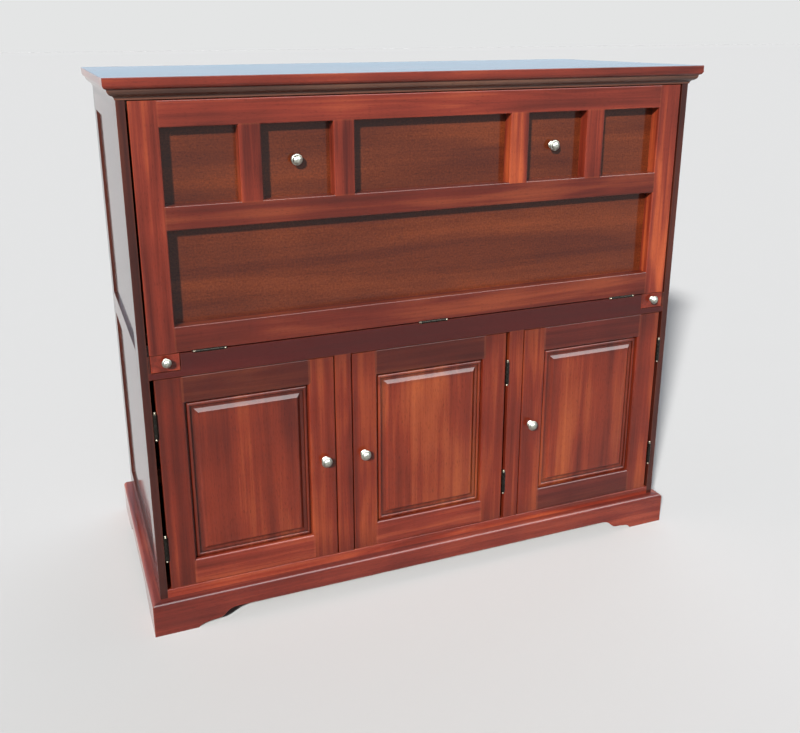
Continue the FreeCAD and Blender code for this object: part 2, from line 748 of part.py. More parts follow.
def make_fall(knob, hinge):
    """A thick frame glued to the board that is the writing surface when it is open."""
    front = (FACE, f"({FACE} + fall_thick - fall_board)")
    node("fall_writing_board", block("fall_board_blank", (f"-{FALL_SIDE}", FALL_SIDE),
                                     (front[1], f"({FACE} + fall_thick)"), (FALL_LOW, "fall_top")))
    frame_side = f"({FALL_SIDE} - fall_stile)"
    stiles = []
    for name, side in SIDES.items():
        x = across(side, frame_side, FALL_SIDE)
        blank = block(f"fall_{name}_stile_blank", x, front, (FALL_LOW, "fall_top"))
        inner, outer = (x[0], x[1]) if side > 0 else (x[1], x[0])
        eased = rounded(f"fall_{name}_stile_eased", blank, "fall_edge", {"x": inner, "y": FACE})
        stiles.append(rounded(f"fall_{name}_stile", eased, "edge_round", {"x": outer, "y": FACE}))
    seats = hinge_seats("fall", 1)
    scribed_x = (f"(-{frame_side} - fall_edge)", f"({frame_side} + fall_edge)")
    levels = {
        "bottom": (FALL_LOW, f"({FALL_LOW} + fall_bottom_rail)"),
        "middle": ("fall_middle_low", "fall_middle_high"),
        "top": ("(fall_top - fall_top_rail)", "fall_top"),
    }
    rails = []
    for part, z in levels.items():
        member = f"fall_{part}_rail"
        blank = block(member + "_blank", scribed_x, front, z)
        eased = rounded(member + "_eased", blank, "fall_edge", {"y": FACE, "z": z[0]}, {"y": FACE, "z": z[1]})
        rails.append(cut(member, eased, *stiles, *(seats if part == "bottom" else [])))
    mullions = []
    upright_z = (f"({levels['middle'][1]} - fall_edge)", f"({levels['top'][0]} + fall_edge)")
    for name, side in SIDES.items():
        for part, centre in (("inner", "mullion_inner"), ("outer", "mullion_outer")):
            member = f"fall_{name}_{part}_mullion"
            x = across(side, f"({centre} - fall_mullion / 2)", f"({centre} + fall_mullion / 2)")
            blank = block(member + "_blank", x, front, upright_z)
            eased = rounded(member + "_eased", blank, "fall_edge",
                            {"x": x[0], "y": FACE}, {"x": x[1], "y": FACE})
            mullions.append(cut(member, eased, rails[1], rails[2]))
    node("fall_stiles", *stiles)
    node("fall_rails", *rails)
    node("fall_mullions", *mullions)
    knobs = [fit_knob(f"fall_{name}_knob", knob, f"({side} * fall_knob_place)", front[1], "fall_knob_level")
             for name, side in SIDES.items()]
    node("fall_knobs", *knobs)
    leaves = [copy_of(f"fall_{name}_leaf", hinge["moving"], x, FACE, "fall_axis", LAID_DOWN)
              for name, x in FALL_HINGES.items()]
    node("fall_hinge_leaves", *leaves)


# ---------------------------------------------------------------- lopers

def make_loper(name, side, knob):
    """A pull-out bearer for the open fall, with a stop peg near its hidden end."""
    x = across(side, "loper_inner", "loper_outer")
    bar = block(f"{name}_loper_bar", x, (FACE, f"({FACE} + loper_long)"), ("loper_low", "loper_high"))
    eased = rounded(f"{name}_loper_eased", bar, "edge_round", {"y": FACE, "x": x[0]}, {"y": FACE, "x": x[1]},
                    {"y": FACE, "z": "loper_low"})
    peg = cylinder(f"{name}_loper_peg", "peg", "loper_high", "(loper_high + peg_high)")
    middle = f"({side} * (loper_inner + loper_outer) / 2)"
    place(peg, middle, f"({FACE} + peg_setback)", "loper_high")
    node(f"{name}_loper", eased, peg)
    node(f"{name}_loper_knob", fit_knob(f"{name}_loper_knob_fitted", knob,
                                        f"({side} * loper_knob_place)", FACE, "loper_knob_level"))


def make_loper_guides():
    """Strips beside each loper, and a kicker above it that the peg stops against."""
    strips = []
    stop = f"({FACE} + peg_setback - peg - loper_travel - 0.5)"
    for name, side in SIDES.items():
        outer_x = across(side, "(loper_outer + guide_gap)", INNER)
        inner_x = across(side, "(loper_inner - guide_gap - guide_wide)", "(loper_inner - guide_gap)")
        kicker_x = across(side, "(loper_inner - guide_gap)", "(loper_outer + guide_gap)")
        outer = block(name + "_outer_guide", outer_x, (FRAME_BACK, BACK_PANEL), (DUST_TOP, DESK_LOW))
        nose = block(name + "_guide_nose", outer_x, (FACE, FRAME_BACK), (DUST_TOP, RAIL_TOP))
        strips.append(join(name + "_outer_strip", outer, nose))
        strips.append(block(name + "_inner_guide", inner_x, (RAIL_BACK, BACK_PANEL), (DUST_TOP, DESK_LOW)))
        strips.append(block(name + "_kicker", kicker_x, (f"({DESK_FRONT})", stop),
                            ("(loper_high + guide_gap)", DESK_LOW)))
    node("loper_guides", *strips)


# ---------------------------------------------------------------- gallery and its drawers

def make_gallery():
    """Dividers and shelves set back behind the fall."""
    y = (GALLERY, BACK_PANEL)
    shelf_top = "(gallery_shelf_level + board_thick)"
    shelf = block("gallery_long_shelf", (f"-{INNER}", INNER), y, ("gallery_shelf_level", shelf_top))
    shelves = [rounded("gallery_shelf_eased", shelf, "edge_round", {"y": GALLERY, "z": shelf_top})]
    dividers = []
    for name, side in SIDES.items():
        x = across(side, DIVIDER_OUTER, INNER)
        z = ("drawer_shelf_level", "(drawer_shelf_level + drawer_shelf_thick)")
        shelves.append(block(name + "_drawer_shelf", x, y, z))
        x = across(side, "divider_inner", DIVIDER_OUTER)
        for part, z in (("lower", (DESK_TOP, "gallery_shelf_level")), ("upper", (shelf_top, CASE_TOP))):
            dividers.append(block(f"{name}_{part}_divider", x, y, z))
    node("gallery_shelves", *shelves)
    node("gallery_dividers", *dividers)


def make_drawer(name, side, knob):
    """A small drawer: a front, and a box of two sides, a back and a bottom."""
    low, high = f"({DIVIDER_OUTER} + drawer_gap)", f"({INNER} - drawer_gap)"
    bottom = f"({DESK_TOP} + drawer_gap)"
    z = (bottom, f"(drawer_shelf_level - drawer_gap)")
    y = (GALLERY, f"({GALLERY} + drawer_front)")
    x = across(side, low, high)
    face = block(f"{name}_drawer_face", x, y, z)
    eased = rounded(f"{name}_drawer_eased", face, "edge_round", {"y": GALLERY, "z": z[0]},
                    {"y": GALLERY, "z": z[1]}, {"y": GALLERY, "x": x[0]}, {"y": GALLERY, "x": x[1]})
    node(f"{name}_drawer_front", eased)
    inner_low, inner_high = f"({low} + drawer_side)", f"({high} - drawer_side)"
    box_y = (y[1], f"({y[1]} + drawer_long)")
    box_z = (bottom, f"({bottom} + drawer_side_high)")
    back_y = (f"({box_y[1]} - drawer_side)", box_y[1])
    within = across(side, inner_low, inner_high)
    boards = [
        block(f"{name}_drawer_inner_side", across(side, low, inner_low), box_y, box_z),
        block(f"{name}_drawer_outer_side", across(side, inner_high, high), box_y, box_z),
        block(f"{name}_drawer_back", within, back_y, box_z),
        block(f"{name}_drawer_bottom", within, (box_y[0], back_y[0]), (bottom, f"({bottom} + back_thick)")),
    ]
    node(f"{name}_drawer_box", *boards)
    middle = f"({side} * ({low} + {high}) / 2)"
    level = f"(({z[0]} + {z[1]}) / 2)"
    node(f"{name}_drawer_knob", fit_knob(f"{name}_drawer_knob_fitted", knob, middle, GALLERY, level))


# ---------------------------------------------------------------- catches

def make_catches():
    """Magnet blocks: one behind each door's free edge and two behind the top of the fall."""
    magnets = []
    half_long, deep, high = "20", "14", "12"
    door_y = (f"({FRAME_BACK} + 0.5)", f"({FRAME_BACK} + {deep})")
    for name, (side, edge) in DOORS.items():
        centre = f"({edge} - {side} * (door_gap + door_wide - door_member / 2))"
        x = (f"({centre} - {half_long})", f"({centre} + {half_long})")
        magnets.append(block(name + "_door_magnet", x, door_y, (f"(cupboard_top - {high})", "cupboard_top")))
    lip = f"({CROWN_LOW} - stop_lip)"
    for name, side in SIDES.items():
        x = across(side, f"(fall_knob_place - {half_long})", f"(fall_knob_place + {half_long})")
        y = (f"({DESK_FRONT} - 0.5)", f"({DESK_FRONT} + {deep})")
        magnets.append(block(name + "_fall_magnet", x, y, (f"({lip} - {high})", lip)))
    node("magnet_catches", *magnets)


# ---------------------------------------------------------------- the whole desk

make_top_board()
three_sided("crown", crown_length)
three_sided("plinth", plinth_length)
make_plinth_braces()
for side_name, sign in SIDES.items():
    make_side(side_name, sign)
make_face_frame()
make_boards()
make_cupboard_shelves()
make_desk_rail()
make_loper_guides()
make_gallery()
make_catches()

DOOR_HINGE = make_hinge("door_hinge", "door_hinge_long", "door_barrel", "door_pin",
                        ("(door_gap / 2 - 1.8)", "(door_gap / 2)"), "(leaf_wide + door_pin_forward)", "3")
FALL_HINGE = make_hinge("fall_hinge", "fall_hinge_long", "fall_barrel", "fall_pin",
                        ("joint_gap", "(joint_gap + fall_leaf)"), "leaf_wide", "2.6")
place_hinges(DOOR_HINGE, FALL_HINGE)

KNOB = make_knob("knob_master", "knob", "knob_long")
SMALL_KNOB = make_knob("small_knob_master", "small_knob", "(0.75 * knob_long)")
LOPER_KNOB = make_knob("loper_knob_master", "loper_knob", "loper_knob_long")
make_fall(KNOB, FALL_HINGE)
for side_name, sign in SIDES.items():
    make_loper(side_name, sign, LOPER_KNOB)
    make_drawer(side_name, sign, SMALL_KNOB)
for door_name, (hinge_side, hinge_edge) in DOORS.items():
    make_door(door_name, hinge_side, hinge_edge, KNOB, DOOR_HINGE)

doc.recompute()

# ---------------------------------------------------------------- checks and files

for thing in doc.Objects:
    for state in thing.State:
        if state in ("Invalid", "Error"):
            raise RuntimeError(f"{thing.Name} is {state}")

for part in NODES:
    shape = part.Shape
    if shape.isNull() or not shape.isValid():
        raise RuntimeError(f"{part.Label} has no valid shape")
    shape.exportStep(f"parts/{part.Label}.step")

print(len(NODES), "nodes")
for part in NODES:
    size = part.Shape.BoundBox
    print(f"{part.Label}: {len(part.Shape.Solids)} solids, "
          f"{size.XLength:.1f} x {size.YLength:.1f} x {size.ZLength:.1f}")
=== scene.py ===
# %% [markdown]
# # A mahogany secretary desk
#
# The real piece is a wide cabinet in dark red lacquered mahogany. Behind a flap, the fall, is a
# desk; under it are three cupboards. The joinery was cut in CAD to fractions of a millimetre, so
# this lesson keeps those boards, finishes them, and makes the metal fittings in mesh code.
#
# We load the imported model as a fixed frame. Every board arrives as an object that sits at the
# origin with its place in its mesh, in metres: +X to the right, +Y to the back, +Z up.

import json
import math
import random

import bmesh
import bpy
from mathutils import Matrix, Vector

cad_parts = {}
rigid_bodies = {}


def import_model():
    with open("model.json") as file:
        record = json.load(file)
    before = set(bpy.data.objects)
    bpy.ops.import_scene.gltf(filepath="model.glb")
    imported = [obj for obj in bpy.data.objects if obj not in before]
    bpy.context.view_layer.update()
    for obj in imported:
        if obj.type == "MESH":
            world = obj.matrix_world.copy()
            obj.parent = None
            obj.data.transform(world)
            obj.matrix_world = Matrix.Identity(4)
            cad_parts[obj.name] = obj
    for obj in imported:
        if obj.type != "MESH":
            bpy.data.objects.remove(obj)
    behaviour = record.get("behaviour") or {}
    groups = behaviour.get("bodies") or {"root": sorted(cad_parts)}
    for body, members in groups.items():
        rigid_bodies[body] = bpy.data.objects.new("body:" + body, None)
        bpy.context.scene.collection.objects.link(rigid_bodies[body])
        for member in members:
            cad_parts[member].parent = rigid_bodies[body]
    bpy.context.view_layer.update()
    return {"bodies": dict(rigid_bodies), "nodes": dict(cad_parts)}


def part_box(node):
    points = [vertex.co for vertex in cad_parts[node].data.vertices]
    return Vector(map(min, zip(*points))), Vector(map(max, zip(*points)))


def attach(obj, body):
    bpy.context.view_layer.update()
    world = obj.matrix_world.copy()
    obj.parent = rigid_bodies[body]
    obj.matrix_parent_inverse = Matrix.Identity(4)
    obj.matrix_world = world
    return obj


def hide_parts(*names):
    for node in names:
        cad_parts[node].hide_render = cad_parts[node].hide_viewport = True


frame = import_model()
nodes = frame["nodes"]

# %% [markdown]
# Nothing we add may stick out of the first box.

# %% [markdown]
# ## The camera
#
# The desk is seen from its left front corner, from just above its top. The camera's own axes
# are written as the three columns of its turn: to its right, up, and backwards. A small shift
# slides the picture on the sensor, as the rising front of a view camera does, so the sides of
# the desk keep their slant while the desk sits where we want it.

# %% Place the camera
CAMERA_PLACE = Vector((-0.8908, -2.2818, 1.4143))
CAMERA_RIGHT = Vector((0.93137, -0.36404, -0.00456))
CAMERA_UP = Vector((0.11119, 0.27250, 0.95571))
CAMERA_BACK = Vector((-0.34667, -0.89063, 0.29427))

lens = bpy.data.cameras.new("camera")
lens.sensor_width = 36
lens.lens = 40.35
lens.shift_x = 0.0161
lens.shift_y = -0.072
camera = bpy.data.objects.new("camera", lens)
turn = Matrix((CAMERA_RIGHT, CAMERA_UP, CAMERA_BACK)).transposed()
camera.matrix_world = Matrix.Translation(CAMERA_PLACE) @ turn.to_4x4()
bpy.context.scene.collection.objects.link(camera)
bpy.context.scene.camera = camera
print("the camera is", round(CAMERA_PLACE.length, 2), "m from the foot of the desk")

# %% [markdown]
# ## Colours
#
# Paint shops and web pages give colours as sRGB hex values, in which equal steps look equal.
# Shaders count light, so each value is made linear first. One function does it for all.

# %% A hex colour as linear light
def linear(colour):
    """A linear RGBA colour from an sRGB hex value."""
    channels = [int(colour[i:i + 2], 16) / 255 for i in (1, 3, 5)]
    return [c / 12.92 if c <= 0.04045 else ((c + 0.055) / 1.055) ** 2.4 for c in channels] + [1]


# %% [markdown]
# A material is a small network of nodes. One helper adds a node, sets it, fills or links its
# inputs and gives it back, so each finish below reads as a list of what it is made of.

# %% One helper for every node
def add(material, kind, inputs=(), stops=(), **settings):
    """A node in a material or a world. An input is a value or another node's output.

    An input goes by its name, or by its number where names repeat: a mix node has its plain
    values at 2 and 3 and its colours at 6 and 7.
    """
    tree = material.node_tree
    made = tree.nodes.new(kind)
    for name, setting in settings.items():
        setattr(made, name, setting)
    for socket, source in dict(inputs).items():
        if isinstance(source, bpy.types.NodeSocket):
            tree.links.new(source, made.inputs[socket])
        else:
            made.inputs[socket].default_value = source
    for i, (place, colour) in enumerate(stops):
        ramp = made.color_ramp.elements
        stop = ramp[i] if i < 2 else ramp.new(place)
        stop.position, stop.color = place, linear(colour)
    return made


def new_material(name):
    """An empty node material and its output."""
    material = bpy.data.materials.new(name)
    material.use_nodes = True
    material.node_tree.nodes.clear()
    return material, add(material, "ShaderNodeOutputMaterial")


MM = 0.001


def per_metre(millimetres):
    """The scale that gives a noise texture marks of this size on coordinates in metres."""
    return 1000 / millimetres


# %% [markdown]
# ## The floor and the light
#
# The floor is a plain pale sheet, far wider than the picture. The light is a studio's: one key
# from the upper left, a soft box that only shows as a reflection, and a pale room all round
# for the lacquer to mirror. A floor as bright as this would fill every shadow with its own
# light, so it is paler where the camera sees it than in the light it throws back. Matt vinyl
# has no shine at all, so nothing on it draws the eye but the soft shadow.

# %% Lay the floor
FLOOR_REACH = 80
FLOOR_SEEN, FLOOR_THROWN = "#c6c7c9", "#8a8a8c"
floor_mesh = bpy.data.meshes.new("floor")
sheet = bmesh.new()
bmesh.ops.create_grid(sheet, x_segments=1, y_segments=1, size=FLOOR_REACH)
sheet.to_mesh(floor_mesh)
sheet.free()
floor = bpy.data.objects.new("floor", floor_mesh)
bpy.context.scene.collection.objects.link(floor)

paper, paper_output = new_material("studio_floor_matt_vinyl")
thrown_back = add(paper, "ShaderNodeLightPath").outputs["Is Diffuse Ray"]
paper_colour = add(paper, "ShaderNodeMix", {
    "Factor": thrown_back, 6: linear(FLOOR_SEEN), 7: linear(FLOOR_THROWN)},
    data_type="RGBA").outputs[2]
paper_shader = add(paper, "ShaderNodeBsdfPrincipled", {
    "Base Color": paper_colour, "Roughness": 1.0, "Specular IOR Level": 0.0})
paper.node_tree.links.new(paper_shader.outputs[0], paper_output.inputs[0])
floor_mesh.materials.append(paper)

# %% Light the room
# The key comes from the upper left, as a far soft box does: its rays run side by side, and its
# width of a few degrees softens the shadows in the panels a little. A weaker and much wider one
# comes from behind on the right, so the back and the right side aren't left in the dark; it isn't
# mirrored, or it would lie as a white sheet over the polished top. Each sun is its name, the
# way it shines, its strength, its width in degrees and its colour.
SUNS = [("key_light", (0.87, 1.0, -0.72), 6.9, 4, "#fffdf8"),
        ("back_light", (-0.8, -0.9, -0.3), 1.7, 80, "#f4f7ff")]
for name, direction, strength, width, colour in SUNS:
    sun = bpy.data.lights.new(name, "SUN")
    sun.energy, sun.angle, sun.color = strength, math.radians(width), linear(colour)[:3]
    lamp = bpy.data.objects.new(name, sun)
    lamp.rotation_euler = Vector(direction).to_track_quat("-Z", "Y").to_euler()
    lamp.visible_glossy = name == "key_light"
    bpy.context.scene.collection.objects.link(lamp)

# A wide soft box over the camera is there only to be mirrored: it draws the bright line along
# every rounded edge that looks up, and lights nothing else.
BOX_PLACE, BOX_TARGET = Vector((0.8, -2.6, 2.9)), Vector((0, -0.32, 0.5))
BOX_WIDE, BOX_HIGH, BOX_POWER = 5.0, 2.5, 370
box = bpy.data.lights.new("edge_soft_box", "AREA")
box.shape = "RECTANGLE"
box.size, box.size_y, box.energy = BOX_WIDE, BOX_HIGH, BOX_POWER
soft_box = bpy.data.objects.new("edge_soft_box", box)
aim = (BOX_TARGET - BOX_PLACE).to_track_quat("-Z", "Y")
soft_box.matrix_world = Matrix.Translation(BOX_PLACE) @ aim.to_matrix().to_4x4()
soft_box.visible_diffuse = soft_box.visible_camera = False
bpy.context.scene.collection.objects.link(soft_box)

# The room looks like the floor, mirrors as a pale blue sky, and throws only a little light
# itself, so the shadows in the panels stay deep.
world = bpy.data.worlds.new("pale_room")
world.use_nodes = True
room = world.node_tree
room.nodes.clear()
rays = add(world, "ShaderNodeLightPath")
seen = add(world, "ShaderNodeBackground", {"Color": linear("#e4e5e5")})
mirrored = add(world, "ShaderNodeBackground", {"Color": linear("#c9ebff")})
thrown = add(world, "ShaderNodeBackground", {"Color": linear("#eff3fa"), "Strength": 0.2})
unseen = add(world, "ShaderNodeMixShader", {
    0: rays.outputs["Is Diffuse Ray"], 1: mirrored.outputs[0], 2: thrown.outputs[0]})
either = add(world, "ShaderNodeMixShader", {
    0: rays.outputs["Is Camera Ray"], 1: unseen.outputs[0], 2: seen.outputs[0]})
add(world, "ShaderNodeOutputWorld", {"Surface": either.outputs[0]})
bpy.context.scene.world = world
bpy.context.scene.view_settings.view_transform = "Standard"

# %% [markdown]
# ## Lacquered mahogany
#
# Mahogany is a red-brown hardwood. Three things make its face: soft streaks of growth, a ribbon
# of light and dark where the grain leans one way and then the other, and short open pores. Here
# it was stained dark red, sprayed with a toned lacquer and rubbed glossy. Each mark is a noise
# texture that is pulled out along the grain, so a board needs to know which way its grain runs:
# along its length. Solid boards at a joint then differ, as real ones do.

# %% The marks of the grain
AXES = {"X": 0, "Y": 1, "Z": 2}
# How wide each mark is in millimetres, and how many times longer it is along the grain. Pores
# are 0.2 mm wide in the wood, and drawn 0.9 mm wide so that they can be seen. The growth lines
# are the sine of the hill's height times CONTOURS.
HILL_MM, FIBRE_MM, PORE_MM = 70, 3.5, 0.9
HILL_LONG, RIBBON_LONG, FIBRE_LONG, PORE_LONG = 12, 55, 40, 16
CONTOURS = 46


def along_grain(along, ratio):
    """The scale of coordinates in which marks come out ratio times longer along the grain."""
    scale = [1, 1, 1]
    scale[AXES[along]] = 1 / ratio
    return scale


def grain_marks(wood, place, along, ribbon_mm):
    """The growth hill, growth lines, ribbon, fibres and open pores, each as a value."""
    hill_place, ribbon_place, fibre_place, pore_place = [
        add(wood, "ShaderNodeMapping", {
            "Vector": place, "Scale": along_grain(along, ratio)}).outputs[0]
        for ratio in (HILL_LONG, RIBBON_LONG, FIBRE_LONG, PORE_LONG)]
    # Growth lines are the contours of one smooth hill of wood, far longer than it is wide.
    hill = add(wood, "ShaderNodeTexNoise", {
        "Vector": hill_place, "Scale": per_metre(HILL_MM), "Detail": 2,
        "Roughness": 0.4, "Distortion": 0.5}).outputs[0]
    turns = add(wood, "ShaderNodeMath", {0: hill, 1: CONTOURS}, operation="MULTIPLY").outputs[0]
    lines = add(wood, "ShaderNodeMath", {0: turns}, operation="SINE").outputs[0]
    # The ribbon comes from interlocked grain, which leans one way and then the other.
    ribbon = add(wood, "ShaderNodeTexNoise", {
        "Vector": ribbon_place, "Scale": per_metre(ribbon_mm), "Detail": 3,
        "Roughness": 0.5, "Distortion": 0.25}).outputs[0]
    fibres = add(wood, "ShaderNodeTexNoise", {
        "Vector": fibre_place, "Scale": per_metre(FIBRE_MM), "Detail": 2,
        "Roughness": 0.6}).outputs[0]
    pore_noise = add(wood, "ShaderNodeTexNoise", {
        "Vector": pore_place, "Scale": per_metre(PORE_MM), "Detail": 1}).outputs[0]
    pores = add(wood, "ShaderNodeMapRange", {
        "Value": pore_noise, "From Min": 0.6, "From Max": 0.72, "To Min": 0, "To Max": 1}).outputs[0]
    return hill, lines, ribbon, fibres, pores


# %% [markdown]
# The marks are laid over one another into one value, which a ramp of three colours turns into
# stained wood. Then come darker bands at some heights, most of them painted shade, painted shade
# in hollows, the dark fill in the pores, and the pale arrises where it was rubbed thin.

# %% The colour of the wood
CLOUD_MM, MOTTLE_MM = 260, 5
# How much each mark decides, where the ramp's three colours sit, and how far a hollow or an
# arris is felt.
LINE_SHARE, FIBRE_SHARE, CLOUD_SHARE = 0.09, 0.13, 0.25
DARK_END, MIDDLE, LIGHT_END = 0.38, 0.5, 0.62
# The first colour darkens the height bands and the hollows, most of it as painted shade; the second
# fills the pores.
DARKENING, PORE_TONER, BARE_ARRIS = "#1c0503", "#0d0403", "#8a4428"
PORE_FILL, ARRIS_WEAR = 0.45, 0.22
HOLLOW_REACH, ARRIS_REACH = 14 * MM, 3 * MM


def grain_tone(wood, place, marks, ribbon_share, figure, fleck):
    """How dark or light the wood is at each place."""
    hill, lines, ribbon, fibres, _ = marks
    # Sprayed stain is never quite even: clouds a hand wide.
    cloud = add(wood, "ShaderNodeTexNoise", {
        "Vector": place, "Scale": per_metre(CLOUD_MM), "Detail": 2}).outputs[0]
    tone = add(wood, "ShaderNodeMath", {0: lines, 1: LINE_SHARE * figure, 2: hill},
               operation="MULTIPLY_ADD").outputs[0]
    for share, mark in ((ribbon_share, ribbon), (FIBRE_SHARE, fibres), (CLOUD_SHARE, cloud)):
        tone = add(wood, "ShaderNodeMix", {"Factor": share, 2: tone, 3: mark}).outputs[0]
    if fleck:
        mottle = add(wood, "ShaderNodeTexNoise", {
            "Vector": place, "Scale": per_metre(MOTTLE_MM), "Detail": 4,
            "Roughness": 0.75}).outputs[0]
        tone = add(wood, "ShaderNodeMix", {"Factor": fleck, 2: tone, 3: mottle}).outputs[0]
    return tone


def wood_colour(wood, place, tone, tones, pores, darker_bands, hollows):
    """The stained and rubbed wood, with filled pores and painted shade in hollows and most bands."""
    dark, middle, light = tones
    stained = add(wood, "ShaderNodeValToRGB", {0: tone},
                  stops=[(DARK_END, dark), (LIGHT_END, light), (MIDDLE, middle)]).outputs[0]
    height = add(wood, "ShaderNodeSeparateXYZ", {0: place}).outputs[2]
    layers = []
    # Each band darkens the wood between two heights; most bands are painted shade.
    for clear, full, amount in darker_bands:
        banded = add(wood, "ShaderNodeMapRange", {
            "Value": height, "From Min": clear, "From Max": full, "To Min": 0, "To Max": amount})
        layers.append((banded.outputs[0], DARKENING))
    # Painted shade: the wood darkens where ambient occlusion finds a hollow.
    if hollows:
        open_sky = add(wood, "ShaderNodeAmbientOcclusion", {"Distance": HOLLOW_REACH}, samples=8,
                       only_local=True).outputs["AO"]
        hollow_shade = add(wood, "ShaderNodeMapRange", {
            "Value": open_sky, "From Min": 0.97, "From Max": 0.6, "To Min": 0, "To Max": hollows})
        layers.append((hollow_shade.outputs[0], DARKENING))
    gathered = add(wood, "ShaderNodeMath", {0: pores, 1: PORE_FILL}, operation="MULTIPLY")
    layers.append((gathered.outputs[0], PORE_TONER))
    arris = add(wood, "ShaderNodeAmbientOcclusion", {"Distance": ARRIS_REACH}, samples=4,
                inside=True, only_local=True).outputs["AO"]
    worn = add(wood, "ShaderNodeMapRange", {
        "Value": arris, "From Min": 0.85, "From Max": 0.35, "To Min": 0, "To Max": ARRIS_WEAR})
    layers.append((worn.outputs[0], BARE_ARRIS))
    colour = stained
    for amount, tint in layers:
        colour = add(wood, "ShaderNodeMix", {"Factor": amount, 6: colour, 7: linear(tint)},
                     data_type="RGBA").outputs[2]
    return colour


# %% [markdown]
# The lacquer is a clear coat over the wood. It levels out over the grain but keeps a faint
# orange peel, so the eye sees a soft sheet of light lying over a deep red.

# %% The finished wood
PEEL_MM = 7
# How far a pore sinks in for each step that a fibre rises.
PORE_DEPTH = -0.6


def mahogany(name, along, tones, ribbon_mm=20, ribbon=0.5, figure=0.6, gloss=0.8, rough=0.34,
             fleck=0.0, darker_bands=(), hollows=0.0):
    """Stained and lacquered mahogany with its grain along X, Y or Z.

    tones are the dark, middle and light colours. ribbon and figure are how much of the
    colour the ribbon stripes and the growth lines decide, and fleck is how much of a fine
    all-over mottle shows. darker_bands is a list of (clear, full, amount): a darkening that
    thickens from the first height to the second, in metres above the floor; most of these bands
    are painted shade. hollows is how much painted shade is laid in hollows.
    """
    wood, output = new_material(name)
    place = add(wood, "ShaderNodeTexCoord").outputs["Object"]
    marks = grain_marks(wood, place, along, ribbon_mm)
    tone = grain_tone(wood, place, marks, ribbon, figure, fleck)
    _, _, stripes, fibres, pores = marks
    colour = wood_colour(wood, place, tone, tones, pores, darker_bands, hollows)
    # The dark bands of the ribbon are a little less smooth than the light ones.
    roughness = add(wood, "ShaderNodeMapRange", {
        "Value": stripes, "From Min": 0.3, "From Max": 0.7,
        "To Min": rough + 0.08, "To Max": rough - 0.05}).outputs[0]
    relief = add(wood, "ShaderNodeMath", {0: pores, 1: PORE_DEPTH, 2: fibres},
                 operation="MULTIPLY_ADD").outputs[0]
    grain_bump = add(wood, "ShaderNodeBump", {
        "Height": relief, "Strength": 0.12, "Distance": 0.4 * MM}).outputs[0]
    peel = add(wood, "ShaderNodeTexNoise", {
        "Vector": place, "Scale": per_metre(PEEL_MM), "Detail": 2}).outputs[0]
    skin = add(wood, "ShaderNodeBump", {
        "Height": peel, "Strength": 0.05, "Distance": 0.5 * MM}).outputs[0]
    shader = add(wood, "ShaderNodeBsdfPrincipled", {
        "Base Color": colour, "Roughness": roughness, "IOR": 1.5, "Normal": grain_bump,
        "Specular IOR Level": 0.05,
        "Coat Weight": gloss, "Coat Roughness": 0.07, "Coat IOR": 1.42, "Coat Normal": skin})
    wood.node_tree.links.new(shader.outputs[0], output.inputs[0])
    return wood


# %% [markdown]
# The eye meets many reds on this desk, because stain takes darker on some boards. Some reds
# are painted light: the desk rail's darkest red, the darker upper ends of the doors, the darker
# lower rails of the fall and the dark tones of the two sides are painted shade, and the crown's
# greyer brown is a painted reflection of the pale room. So each kind of board has its own dark,
# middle and light tone. Painted shade also holds back the bright slope along the top of each
# door panel, and the doors are darker towards their lower ends.

# %% Boards of the outside
RED = ("#51190f", "#74291b", "#9b482b")
WINE = ("#44140f", "#622219", "#823726")
# Painted shade: the desk rail's darkest red.
DESK_RAIL_PAINTED_SHADE = ("#3a0f0d", "#410f0d", "#4a1511")
# Painted reflection: the crown's greyer brown stands for the room mirrored in its lacquer.
CROWN_PAINTED_REFLECTION = ("#37221c", "#573a2f", "#6e4c3c")
# Painted shade: the dark tones of the sides and the loper guides.
SIDE_PAINTED_SHADE = ("#210a07", "#37140e", "#4f2317")
FALL_RED = ("#47130b", "#73291a", "#a64d2a")
STILE_RED = ("#49150b", "#672213", "#8b3f20")
BROWN_FALL = ("#3a130b", "#542310", "#703418")
RIBBON_RED = ("#4c170d", "#6c2615", "#8c4323")
# Painted shade darkens the upper ends of the doors; they are also darker towards their lower ends.
LOWER_END = (0.19, 0.115, 0.25)
DOOR_ENDS = [(0.58, 0.655, 0.3), LOWER_END]
outside = {
    along: mahogany(f"mahogany_red_lacquer_grain_{along.lower()}", along, RED) for along in "XY"}
fall_stile = mahogany("mahogany_fall_stile_lacquer_grain_z", "Z", FALL_RED)
plinth_wood = mahogany("mahogany_plinth_lacquer_grain_x", "X", WINE)
crown_wood = {
    along: mahogany(f"mahogany_painted_reflection_grain_{along.lower()}", along, CROWN_PAINTED_REFLECTION) for along in "XY"}
painted_shade_rail = mahogany("mahogany_painted_shade_grain_x", "X", DESK_RAIL_PAINTED_SHADE, ribbon=0.3, figure=0.3)
# Painted shade: the fall's rails darken below 1.2 m, towards the desk rail.
fall_rail = mahogany("mahogany_fall_rail_lacquer_grain_x", "X", RED, darker_bands=[(1.2, 1.05, 0.46)])
# Painted shade darkens the upper ends of the door stiles and rails.
door_stile = mahogany("mahogany_door_stile_lacquer_grain_z", "Z", STILE_RED, darker_bands=DOOR_ENDS)
door_rail = mahogany("mahogany_door_rail_lacquer_grain_x", "X", RED,
                     darker_bands=[(0.5, 0.6, 0.74), LOWER_END])
dark_door_rail = mahogany("mahogany_right_door_rail_lacquer_grain_x", "X", WINE,
                          darker_bands=[(0.5, 0.6, 0.35), (0.19, 0.13, 0.6)])
